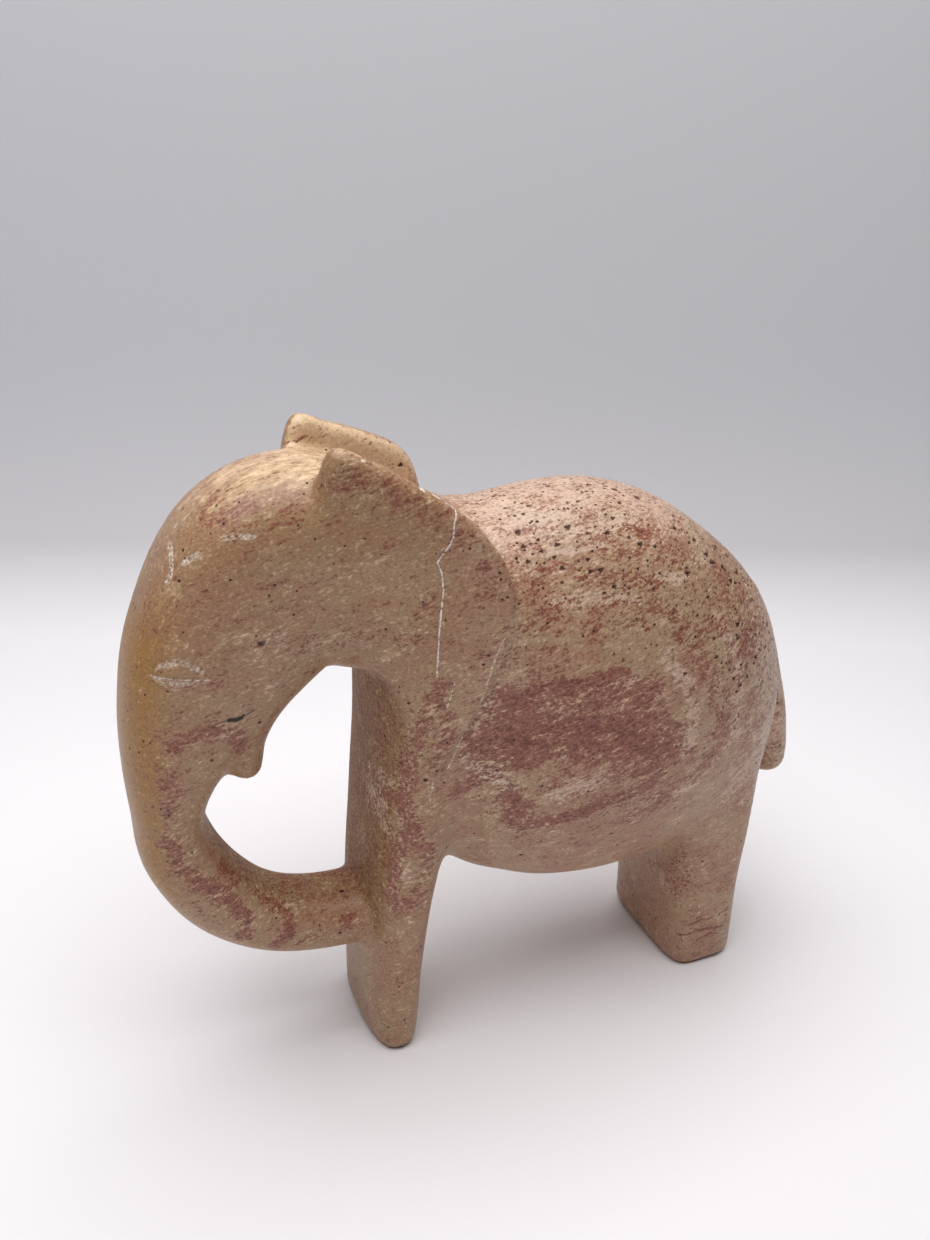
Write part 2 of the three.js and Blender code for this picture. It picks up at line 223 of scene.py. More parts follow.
PALE = [
    (1, 2.2, 0.70, [(10, 60), (18, 61)]),
    (1, 1.5, 0.60, [(-6, 66), (-2, 64), (1, 64)]),
    (1, 1.0, 0.55, [(-8, 69), (-5, 76), (-2, 83)]),
    (1, 1.7, 0.8, [(31, 84), (36, 77), (38, 70), (37, 63)]),
    (1, 1.5, 0.65, [(43, 89), (47, 82), (49, 73), (49, 63)]),
    (1, 0.35, 1.1, [(9.6, 104.8), (15.6, 104.6), (20, 104.9)]),
    (1, 0.35, 0.9, [(6, 109.4), (10, 109.3), (16, 109.6)]),
    (1, 1.0, 0.8, [(9, 97), (18, 97), (26, 95)]),
    (1, 0.9, 0.75, [(29, 99), (36, 97)]),
    (1, 1.0, 0.55, [(28, 54), (40, 53), (48, 62)]),
    (1, 0.9, 0.6, [(-20, 64), (-21, 56), (-20, 53)]),
    (1, 0.9, 0.5, [(-14, 67), (-13, 59)]),
    (1, 1.3, 0.7, [(-18, 46), (-18, 44)]),
    (-1, 2.0, 0.6, [(12, 63), (18, 62)]),
    (-1, 1.5, 0.7, [(38, 88), (49, 76), (49, 62)]),
    (-1, 0.5, 0.9, [(4, 106), (18, 108)]),
    (-1, 1.4, 0.5, [(-32, 97), (-22, 92)]),
]

MM = 0.001

# The grid that the stone is meshed on, in millimetres: its size across, along and up, and where
# it starts along and up. It is centred across.
GRID_SIZE = (49, 151, 133)
GRID_START = (-67.5, -2.2)

PIT_DEPTH = 0.55  # share of a pit's size
UNEVENNESS = 0.35  # share of the swell that is left on the stone
GROOVE_DEPTH = 0.55  # behind each ear's rear edge


def ease(low, high, value):
    """0 below low, 1 above high, and a smooth step between."""
    t = np.clip((value - low) / (high - low), 0, 1)
    return t * t * (3 - 2 * t)


def eased(rows, steps, closed=False):
    """A smooth line through rows of numbers, each column a cubic between its neighbours."""
    rows = np.asarray(rows, float)
    if closed:
        a, b, c, d = (np.roll(rows, shift, axis=0) for shift in (1, 0, -1, -2))
    else:
        rows = np.vstack([2 * rows[0] - rows[1], rows, 2 * rows[-1] - rows[-2]])
        a, b, c, d = rows[:-3], rows[1:-2], rows[2:-1], rows[3:]
    t = (np.arange(steps) / steps)[:, None, None]
    line = b + 0.5 * t * (c - a + t * (2 * a - 5 * b + 4 * c - d + t * (3 * b - a - 3 * c + d)))
    line = line.swapaxes(0, 1).reshape(-1, rows.shape[1])
    return np.vstack([line, line[:1] if closed else rows[-2:-1]])


def nearest(y, z, a, b):
    """How far along the stretch a to b its nearest place lies, from 0 to 1, and the distance to it."""
    dy, dz = b[0] - a[0], b[1] - a[1]
    t = np.clip(((y - a[0]) * dy + (z - a[1]) * dz) / (dy * dy + dz * dz), 0, 1)
    return t, np.hypot(y - a[0] - t * dy, z - a[1] - t * dz)


def section(u, v, a, b, fullness):
    """Distance to the curve |u/a|^n + |v/b|^n = 1, true to first order near it."""
    p, q = np.abs(u) / a + 1e-6, np.abs(v) / b + 1e-6
    size = (p**fullness + q**fullness) ** (1 / fullness)
    slope = np.hypot(p ** (fullness - 1) / a, q ** (fullness - 1) / b)
    return (size - 1) / (size ** (1 - fullness) * slope)


def join(a, b, k):
    """The smaller of two fields, with a fillet k wide where they are nearly equal."""
    h = np.maximum(k - np.abs(a - b), 0) / k
    return np.minimum(a, b) - 0.25 * h * h * k


def share(a, b, k):
    """The larger of two fields, with the edge rounded over a width of k."""
    return -join(-a, -b, k)


class SideView:
    """Tables over the side view, read smoothly between their points."""

    low = np.array([-76.0, -10.0])
    step = 0.4

    def __init__(self):
        self.y = self.low[0] + self.step * np.arange(420)[:, None]
        self.z = self.low[1] + self.step * np.arange(370)[None, :]
        self.tables = {name: self.limb(rows) for name, rows in LIMBS.items()}
        self.tables["body"] = self.barrel()
        self.tables.update({name: self.outline(points) for name, points in EARS.items()})

    def limb(self, stations):
        """Distance to the limb's nearest place and its sizes there, taken where it is deepest."""
        line = eased(stations, 8)
        best = np.full(np.broadcast(self.y, self.z).shape, np.inf)
        found = np.zeros((*best.shape, 4))
        for a, b in zip(line[:-1], line[1:]):
            t, distance = nearest(self.y, self.z, a, b)
            gap = distance - a[2] - t * (b[2] - a[2])
            here = gap < best
            best[here] = gap[here]
            sizes = a[2:] + t[here][:, None] * (b[2:] - a[2:])
            found[here] = np.column_stack([distance[here], sizes])
        return found

    def barrel(self):
        """Distance from the body's middle, and the outline's radius in that direction."""
        rim = eased(BODY_OUTLINE, 8, closed=True)[:-1] - BODY_MIDDLE
        turn = np.arctan2(rim[:, 1], rim[:, 0])
        order = np.argsort(turn)
        dy, dz = self.y - BODY_MIDDLE[0], self.z - BODY_MIDDLE[1]
        reach = np.hypot(rim[order, 0], rim[order, 1])
        radius = np.interp(np.arctan2(dz, dy), turn[order], reach, period=2 * np.pi)
        same = np.ones_like(radius)
        return np.stack([np.hypot(dy, dz), radius, same * DRAWN_GIRTH / 2, same * BODY_FULLNESS], -1)

    def outline(self, points):
        """Signed distance to a closed outline, negative inside."""
        rim = eased(points, 6, closed=True)
        distance = np.full(np.broadcast(self.y, self.z).shape, np.inf)
        inside = np.zeros(distance.shape, bool)
        for a, b in zip(rim[:-1], rim[1:]):
            distance = np.minimum(distance, nearest(self.y, self.z, a, b)[1])
            crossing = a[0] + (self.z - a[1]) * (b[0] - a[0]) / (b[1] - a[1] or 1e-9)
            inside ^= ((a[1] > self.z) != (b[1] > self.z)) & (self.y < crossing)
        return np.where(inside, -distance, distance)[..., None]

    def read(self, name, y, z):
        """A table's columns at any place, by bilinear interpolation."""
        table = self.tables[name]
        u = np.clip((y - self.low[0]) / self.step, 0, table.shape[0] - 1.001)
        v = np.clip((z - self.low[1]) / self.step, 0, table.shape[1] - 1.001)
        i, j = u.astype(int), v.astype(int)
        u, v = (u - i)[..., None], (v - j)[..., None]
        low = table[i, j] * (1 - u) + table[i + 1, j] * u
        high = table[i, j + 1] * (1 - u) + table[i + 1, j + 1] * u
        return np.moveaxis(low * (1 - v) + high * v, -1, 0)


def stone(side, thickness, x, y, z):
    """The whole figure's field: head, trunk and front legs, body, hind legs and tail, ears, soles."""
    rim = np.where(x > 0, side.read("near_ear", y, z)[0], side.read("far_ear", y, z)[0])
    x = np.abs(x)

    def limb(name):
        distance, half, wide, fullness = side.read(name, y, z)
        return section(distance, x, half, wide, fullness)

    head = join(join(limb("trunk"), limb("lip"), 2.8), limb("front"), 2.4)
    rear = join(join(limb("body"), limb("hind"), 3.6), limb("tail"), 4)
    face = CHEEK[1] + EAR_FLARE * (y - CHEEK[0])
    leaf = np.abs(x - face + thickness / 2) - thickness / 2
    ear = share(rim, leaf, EAR_ROUNDING)
    whole = join(join(head, rear, 6), ear, 2)
    return share(whole, -z - 0.3 + 0 * x, 3.4)


def grown(field, points, h=0.06):
    """The field at each point, and the direction in which it grows fastest."""
    steps = np.eye(3) * h
    slope = np.stack([field(*(points + s).T) - field(*(points - s).T) for s in steps], -1) / (2 * h)
    return field(*points.T), slope


def settle(field, points, rounds=2):
    """Moves points straight onto the field's zero."""
    for _ in range(rounds):
        value, slope = grown(field, points)
        step = np.clip(value, -1, 1) / np.maximum((slope**2).sum(1), 0.2)
        points = points - step[:, None] * slope
    return points


def meshed(field, cell):
    """Meshes the field's zero: a point in each cell that it passes, a quad at each crossed grid line."""
    count = np.array([int(GRID_SIZE[0] / cell) // 2 * 2, int(GRID_SIZE[1] / cell), int(GRID_SIZE[2] / cell)])
    axes = [
        (np.arange(count[0]) - (count[0] - 1) / 2) * cell,
        np.arange(count[1]) * cell + GRID_START[0],
        np.arange(count[2]) * cell + GRID_START[1],
    ]
    value = field(axes[0][:, None, None], axes[1][None, :, None], axes[2][None, None, :])
    total = np.zeros((*(count - 1), 3), np.float32)
    hits = np.zeros(count - 1, np.int8)
    crossed = []
    for way in range(3):
        others = [k for k in range(3) if k != way]
        a = np.moveaxis(value, way, 0)[:-1]
        b = np.moveaxis(value, way, 0)[1:]
        cross = np.moveaxis((a < 0) != (b < 0), 0, way)
        part = np.moveaxis(a / np.where(a == b, 1, a - b), 0, way)
        crossed.append(cross)
        for u in (0, 1):
            for v in (0, 1):
                cut = [slice(None)] * 3
                cut[others[0]] = slice(u, count[others[0]] - 1 + u)
                cut[others[1]] = slice(v, count[others[1]] - 1 + v)
                here = cross[tuple(cut)]
                total[..., way] += np.where(here, part[tuple(cut)], 0)
                total[..., others[0]] += here * u
                total[..., others[1]] += here * v
                hits += here
    filled = hits > 0
    number = np.full(count - 1, -1)
    number[filled] = np.arange(filled.sum())
    start = np.stack([axes[k][i] for k, i in enumerate(np.nonzero(filled))], -1)
    points = start + cell * total[filled] / hits[filled][:, None]
    quads = []
    for way in range(3):
        u, v = (way + 1) % 3, (way + 2) % 3
        inner = [slice(1, -1)] * 3
        inner[way] = slice(None)
        place = np.argwhere(crossed[way][tuple(inner)])
        place[:, [u, v]] += 1
        corner = []
        for du, dv in ((1, 1), (0, 1), (0, 0), (1, 0)):
            cell_at = place.copy()
            cell_at[:, u] -= du
            cell_at[:, v] -= dv
            corner.append(number[tuple(cell_at.T)])
        quad = np.stack(corner, -1)
        outward = value[tuple(place.T)] > 0
        quad[outward] = quad[outward][:, ::-1]
        quads.append(quad)
    quads = np.vstack(quads)
    across = np.linalg.norm(points[quads[:, 0]] - points[quads[:, 2]], axis=1)
    other = np.linalg.norm(points[quads[:, 1]] - points[quads[:, 3]], axis=1)
    quads = np.where((across > other)[:, None], np.roll(quads, 1, axis=1), quads)
    return points, np.vstack([quads[:, [0, 1, 2]], quads[:, [0, 2, 3]]])


def split(points, faces, wanted):
    """Halves each edge that is longer than wanted at its middle, and divides the triangles to fit."""
    ends = np.sort(faces[:, [0, 1, 1, 2, 2, 0]].reshape(-1, 2), axis=1)
    key, back = np.unique(ends[:, 0] * len(points) + ends[:, 1], return_inverse=True)
    first, second = key // len(points), key % len(points)
    middle = (points[first] + points[second]) / 2
    long = np.linalg.norm(points[first] - points[second], axis=1) > wanted(middle)
    fresh = np.full(len(key), -1)
    fresh[long] = len(points) + np.arange(long.sum())
    cut = fresh[back.reshape(-1)].reshape(-1, 3)
    number = (cut >= 0).sum(1)
    # One cut: its edge is turned to the front. Two cuts: the whole edge is turned to the back.
    turn = np.where(number == 1, np.argmax(cut >= 0, 1), np.where(number == 2, np.argmax(cut < 0, 1) + 1, 0))
    order = (np.arange(3)[None] + turn[:, None]) % 3
    a, b, c = np.take_along_axis(faces, order, 1).T
    m, n, o = np.take_along_axis(cut, order, 1).T
    made = [faces[number == 0]]
    for count, corners in (
        (1, ((a, m, c), (m, b, c))),
        (2, ((m, b, n), (a, m, n), (a, n, c))),
        (3, ((a, m, o), (m, b, n), (o, n, c), (m, n, o))),
    ):
        made += [np.stack(corner, -1)[number == count] for corner in corners]
    return np.vstack([points, middle[long]]), np.vstack(made), int(long.sum())


def line_distance(points, side, line):
    """Distance in the side view from each point on one side of the figure to a drawn line.

    A strip down the middle of the figure is left bare, wider on the neck between the ears.
    """
    x, y, z = points.T
    bare = np.where((y > -20) & (y < -3) & (z > 98), 11.5, 3)
    distance = np.full(len(points), np.inf)
    for a, b in zip(line[:-1], line[1:]):
        distance = np.minimum(distance, nearest(y, z, a, b)[1])
    off = (np.sign(x) != side) if side else np.zeros(len(points), bool)
    return np.where(off | (np.abs(x) < bare), np.inf, distance)


def pit_places(points, out, count):
    """Chooses where pits lie: thick on the back and rump, a few elsewhere, drawn from a fixed seed."""
    draw = np.random.default_rng(11)
    x, y, z = points.T
    back = ease(88, 108, z) * ease(-8, 6, y)
    rump = 1.3 * ease(30, 52, y) * ease(60, 84, z) * ease(0, 12, 104 - z + 12)
    clustered = np.sin(0.35 * y + 0.2 * z) * np.sin(0.5 * z + 0.1 * x) > -0.2
    weight = 0.02 + (back + rump) * (0.25 + 0.75 * clustered)
    weight *= (z > 3) & (out[:, 2] > -0.6)
    pick = draw.choice(len(points), count, replace=False, p=weight / weight.sum())
    size = np.clip(draw.lognormal(-1.3, 0.32, count), 0.18, 0.5)
    return points[pick], size


def pit_distance(points, places, sizes):
    """For each point, its distance from the nearest pit's middle as a share of its size, and that size."""
    share_of = np.full(len(points), 9.0)
    size_of = np.ones(len(points))
    stretch = np.array([1, 0.8, 1.15])
    for place, size in zip(places, sizes):
        near = np.flatnonzero(np.abs(points[:, 2] - place[2]) < 4 * size + 1)
        near = near[np.abs(points[near, 1] - place[1]) < 4 * size + 1]
        offset = (points[near] - place) * stretch
        turn = np.arctan2(offset[:, 2], offset[:, 1])
        ragged = 1 + 0.22 * np.sin(3 * turn + 40 * size) + 0.12 * np.sin(5 * turn + 90 * size)
        distance = np.linalg.norm(offset, axis=1) / (size * ragged)
        closer = distance < share_of[near]
        share_of[near[closer]] = distance[closer]
        size_of[near[closer]] = size
    return share_of, size_of


def veins(points, lines):
    """How strongly veins colour each point: full on a line, fading a little beyond its half width."""
    amount = np.zeros(len(points))
    for side, half, strength, line in lines:
        here = 1 - ease(0.4, 1.7, line_distance(points, side, line) / half)
        amount = np.maximum(amount, strength * here)
    return amount


def swell(points):
    """Slight unevenness of hand work: a sum of long sine waves in fixed directions."""
    draw = np.random.default_rng(5)
    rise = np.zeros(len(points))
    for length in (46, 38, 31, 27, 22, 19, 16, 14):
        way = draw.normal(size=3)
        way /= np.linalg.norm(way)
        rise += length / 300 * np.sin(points @ way * 2 * np.pi / length + draw.uniform(0, 6.28))
    return rise


class ElephantSettings(bpy.types.PropertyGroup):
    height: bpy.props.FloatProperty(
        name="Height", description="From the soles to the tops of the ears",
        default=HIGH[2] - LOW[2], unit="LENGTH")
    girth: bpy.props.FloatProperty(
        name="Girth", description="Across the flanks, the widest place",
        default=HIGH[0] - LOW[0], unit="LENGTH")
    ear_thickness: bpy.props.FloatProperty(
        name="Ear thickness", description="Thickness of an ear where it stands free",
        default=0.0048, unit="LENGTH")
    cell: bpy.props.FloatProperty(
        name="Mesh step", description="Size of the stone's faces away from fine marks",
        default=0.00102, unit="LENGTH")
    pits: bpy.props.IntProperty(
        name="Pits", description="How many pits are deep enough to be modelled", default=430)
    rose: bpy.props.StringProperty(
        name="Rose", description="Main colour of the stone, sRGB hex", default="ab8268")
    tan: bpy.props.StringProperty(
        name="Tan", description="Second colour of the stone, sRGB hex", default="b09073")
    pale: bpy.props.StringProperty(
        name="Pale", description="Colour of the pale flecks and veins, sRGB hex", default="d9bba8")
    rust: bpy.props.StringProperty(
        name="Rust", description="Colour of the dark bands, sRGB hex", default="94594a")
    deep: bpy.props.StringProperty(
        name="Deep rust", description="Colour of the darkest bands, sRGB hex", default="6c372b")
    ochre: bpy.props.StringProperty(
        name="Ochre", description="Colour of the trunk's front, sRGB hex", default="a97a3e")
    # Cream is the crown's paler stone, and it also paints light on the crown's top and the far ear's inner
    # face.
    cream_and_painted_light: bpy.props.StringProperty(
        name="Cream", description="Colour of the crown and the far ear, sRGB hex", default="e6c6a0")
    olive: bpy.props.StringProperty(
        name="Olive", description="Colour of the browner head and legs, sRGB hex", default="98754e")
    pit: bpy.props.StringProperty(
        name="Pit", description="Colour of the brown pits and flecks, sRGB hex", default="6e4436")
    speck: bpy.props.StringProperty(
        name="Speck", description="Colour of the black dots, sRGB hex", default="2c1c17")
    scratch: bpy.props.StringProperty(
        name="Scratch", description="Colour of scratched stone, sRGB hex", default="f3ece2")


class StudioSettings(bpy.types.PropertyGroup):
    floor: bpy.props.StringProperty(
        name="Floor", description="Colour of the floor, sRGB hex", default="f4f1f3")
    # The wall's grey also paints the shade where the light falls off behind the figure.
    wall: bpy.props.StringProperty(
        name="Wall", description="Colour of the paper where it stands, sRGB hex", default="cdced2")
    key: bpy.props.FloatProperty(
        name="Key light", description="Power of the overhead softbox", default=4.7, unit="POWER")
    room: bpy.props.FloatProperty(
        name="Room light", description="Strength of the light from all round", default=0.05)


def linear(text):
    """Turns an sRGB hex colour to linear RGBA."""
    parts = [int(text[k:k + 2], 16) / 255 for k in (0, 2, 4)]
    return (*[p / 12.92 if p <= 0.04045 else ((p + 0.055) / 1.055) ** 2.4 for p in parts], 1)


def add(tree, kind, inputs=(), **settings):
    """Adds a node with its settings, sets or links the inputs named, and gives the outputs in use."""
    made = tree.nodes.new("ShaderNode" + kind)
    for name, value in settings.items():
        setattr(made, name, value)
    for key, value in dict(inputs).items():
        if isinstance(value, bpy.types.NodeSocket):
            tree.links.new(value, made.inputs[key])
        else:
            made.inputs[key].default_value = value
    return [socket for socket in made.outputs if socket.enabled]


def polished_soapstone(settings):
    """Soapstone, filed, sanded and waxed.

    Its body colour drifts between rose and tan in clouds, with rust-red swirls, pale veins, an
    ochre skin on the trunk's front, fine flecks along the bedding and dark pits. The wax gives
    a soft satin sheen.
    """
    material = bpy.data.materials.new("polished_soapstone")
    material.use_nodes = True
    tree = material.node_tree
    tree.nodes.clear()
    place = add(tree, "TexCoord")[3]
    field = {name: add(tree, "Attribute", attribute_name=name)[2] for name in (
        "rust", "pale", "ochre", "cream_and_painted_light", "olive", "speckled", "pit", "scratch", "black", "filed_and_painted_shade")}

    # Millimetres along the bedding, which rises towards the tail, and steeper for the flecks in it.
    level, steep = (add(tree, "Mapping", {
        "Vector": place, "Rotation": (math.radians(turn), 0.0, 0.0), "Scale": (1000.0, 1000.0, 1000.0),
    })[0] for turn in (-6, -17))

    # Noises that swing about one either way: vector, size in mm, length along the bedding, detail.
    # The real grain is partly finer than the picture shows, so the finest is 0.36 mm.
    for name, vector, size, long, detail in (
        ("cloud", level, 14.0, 1.2, 3.0), ("mottle", level, 3.6, 1.9, 4.0),
        ("streak", steep, 0.70, 3.4, 2.5), ("grain", steep, 0.36, 1.8, 1.0),
    ):
        scaled = add(tree, "VectorMath", {0: vector, 1: (1 / size, 1 / size / long, 1 / size)},
                     operation="MULTIPLY")[0]
        value = add(tree, "TexNoise", {"Vector": scaled, "Scale": 1.0, "Detail": detail, "Roughness": 0.6,
                                       "Distortion": 0.3})[0]
        field[name] = add(tree, "Math", {0: value, 1: 8.0, 2: -4.0}, operation="MULTIPLY_ADD")[0]

    # Round specks, one to a cell: cell, least and greatest radius in mm, and the share of cells
    # that have one, at least and where the stone is speckled most.
    for name, cell, least, greatest, few, many in (
        ("dots", 1.1, 0.12, 0.30, 0.08, 0.50), ("blots", 1.8, 0.26, 0.55, 0.04, 0.70),
    ):
        distance, tint = add(tree, "TexVoronoi", {"Vector": level, "Scale": 1 / cell, "Randomness": 1.0})[:2]
        lot = add(tree, "SeparateColor", {0: tint})
        reach = add(tree, "Math", {0: lot[0], 1: (greatest - least) / cell, 2: least / cell},
                    operation="MULTIPLY_ADD")[0]
        off = add(tree, "Math", {0: distance, 1: reach}, operation="DIVIDE")[0]
        spot = add(tree, "MapRange", {0: off, 1: 0.7, 2: 1.15, 3: 1.0, 4: 0.0})[0]
        chance = add(tree, "Math", {0: field["speckled"], 1: many, 2: few}, operation="MULTIPLY_ADD")[0]
        chosen = add(tree, "Math", {0: lot[1], 1: chance}, operation="LESS_THAN")[0]
        field[name] = add(tree, "Math", {0: spot, 1: chosen}, operation="MULTIPLY")[0]

    # White scratches, broken up by the grain.
    broken = 1.0
    for name, weight in (("streak", 0.22), ("grain", 0.30)):
        broken = add(tree, "Math", {0: field[name], 1: weight, 2: broken}, operation="MULTIPLY_ADD")[0]
    field["worn"] = add(tree, "Math", {0: field["scratch"], 1: broken}, operation="MULTIPLY")[0]

    # Colours laid over one another: each covers where its weighed sum passes from low to high.
    colour = linear(settings.rose)
    for tint, low, high, most, parts in (
        (settings.tan, -0.6, 0.8, 1.0, {"cloud": 1.0, "mottle": 0.5}),
        (settings.olive, 0.0, 1.3, 1.0, {"olive": 1.0, "mottle": 0.05, "streak": 0.05}),
        (settings.pale, 0.4, 2.6, 0.30, {"streak": 0.8, "mottle": 0.5, "grain": 1.0}),
        # Rust flecks, held back where the crown and far ear are painted cream with painted light.
        (settings.rust, 0.5, 2.0, 0.37, {"streak": -1.0, "mottle": -0.6, "grain": -0.6, "cream_and_painted_light": -1.2}),
        (settings.ochre, 0.2, 2.9, 0.85, {"ochre": 3.0, "streak": 0.3, "mottle": 0.3}),
        # Cream: paler stone and painted light on the crown's top and the far ear's inner face.
        (settings.cream_and_painted_light, 0.2, 2.8, 0.85, {"cream_and_painted_light": 3.0, "streak": 0.4, "mottle": 0.5}),
        (settings.rust, 1.1, 2.2, 0.80, {"rust": 3.0, "mottle": -0.7, "streak": -0.9, "grain": -0.6}),
        (settings.deep, 2.2, 4.6, 0.70, {"rust": 3.0, "mottle": -0.6, "streak": -0.9, "grain": -0.9}),
        (settings.pale, 1.2, 3.0, 0.60, {"pale": 3.0, "mottle": 0.6, "streak": 0.8, "grain": 0.5}),
        (settings.pit, 1.3, 3.0, 0.32, {"grain": -1.0, "streak": -0.7, "rust": 0.7}),
        (settings.pit, 0.0, 1.0, 0.60, {"blots": 0.8}),
        (settings.pit, 0.0, 0.5, 0.85, {"dots": 1.0, "pit": 1.0}),
        (settings.speck, 0.4, 1.0, 0.85, {"dots": 1.0, "pit": 0.9}),
        (settings.scratch, 0.10, 1.0, 0.95, {"worn": 1.0}),
        (settings.speck, 0.0, 1.0, 1.0, {"black": 1.0}),
    ):
        amount = 0.0
        for name, weight in parts.items():
            amount = add(tree, "Math", {0: field[name], 1: weight, 2: amount}, operation="MULTIPLY_ADD")[0]
        cover = add(tree, "MapRange", {0: amount, 1: low, 2: high, 4: most},
                    interpolation_type="SMOOTHSTEP")[0]
        colour = add(tree, "Mix", {0: cover, 6: colour, 7: linear(tint)}, data_type="RGBA")[0]

    # Fine light and dark over all of it.
    shade = 1.0
    for name, weight in (("streak", 0.045), ("grain", 0.095)):
        shade = add(tree, "Math", {0: field[name], 1: weight, 2: shade}, operation="MULTIPLY_ADD")[0]
    shade = add(tree, "CombineColor", {0: shade, 1: shade, 2: shade})[0]
    colour = add(tree, "Mix", {0: 1.0, 6: colour, 7: shade}, data_type="RGBA", blend_type="MULTIPLY")[0]

    # Waxed stone is satin, and dull in pits, in scratches and where it is only filed. Its flecks
    # wear unevenly.
    rough, height = 0.42, 0.0
    for name, weight in (("mottle", 0.03), ("pit", 0.25), ("worn", 0.25), ("dots", 0.2), ("filed_and_painted_shade", 0.35)):
        rough = add(tree, "Math", {0: field[name], 1: weight, 2: rough}, operation="MULTIPLY_ADD")[0]
    for name, weight in (("streak", 0.08), ("grain", 0.10), ("dots", -1.2), ("blots", -0.6)):
        height = add(tree, "Math", {0: field[name], 1: weight, 2: height}, operation="MULTIPLY_ADD")[0]
    bump = add(tree, "Bump", {"Strength": 0.6, "Distance": 0.00007, "Height": height})[0]
    shader = add(tree, "BsdfPrincipled", {
        "Base Color": colour, "Roughness": rough, "Normal": bump, "IOR": 1.55,
        "Specular IOR Level": 0.32, "Coat Weight": 0.07, "Coat Roughness": 0.3,
    })[0]
    add(tree, "OutputMaterial", {"Surface": shader})
    return material


def paper_with_painted_shade(settings, away):
    """Graduated backdrop paper: white where it lies, grey where it stands, without sheen. Its grading with
    height and with distance behind the figure is painted shade, where the softbox's light falls off.

    It is seen and lit from its face only, so that it doesn't hide the figure from behind.
    """
    material = bpy.data.materials.new("paper_with_painted_shade")
    material.use_nodes = True
    tree = material.node_tree
    tree.nodes.clear()
    along = add(tree, "VectorMath", {0: add(tree, "TexCoord")[3], 1: (away.x * 0.4, away.y * 0.4, 1.0)},
                operation="DOT_PRODUCT")[0]
    # Painted shade: greyer with height and with distance behind the figure.
    up = add(tree, "MapRange", {0: along, 1: 0.02, 2: 0.185}, interpolation_type="SMOOTHSTEP")[0]
    colour = add(tree, "Mix", {0: up, 6: linear(settings.floor), 7: linear(settings.wall)},
                 data_type="RGBA")[0]
    shader = add(tree, "BsdfPrincipled", {"Base Color": colour, "Roughness": 0.9})[0]
    behind = add(tree, "NewGeometry")[6]
    shader = add(tree, "MixShader", {0: behind, 1: shader, 2: add(tree, "BsdfTransparent")[0]})[0]
    add(tree, "OutputMaterial", {"Surface": shader})
    return material


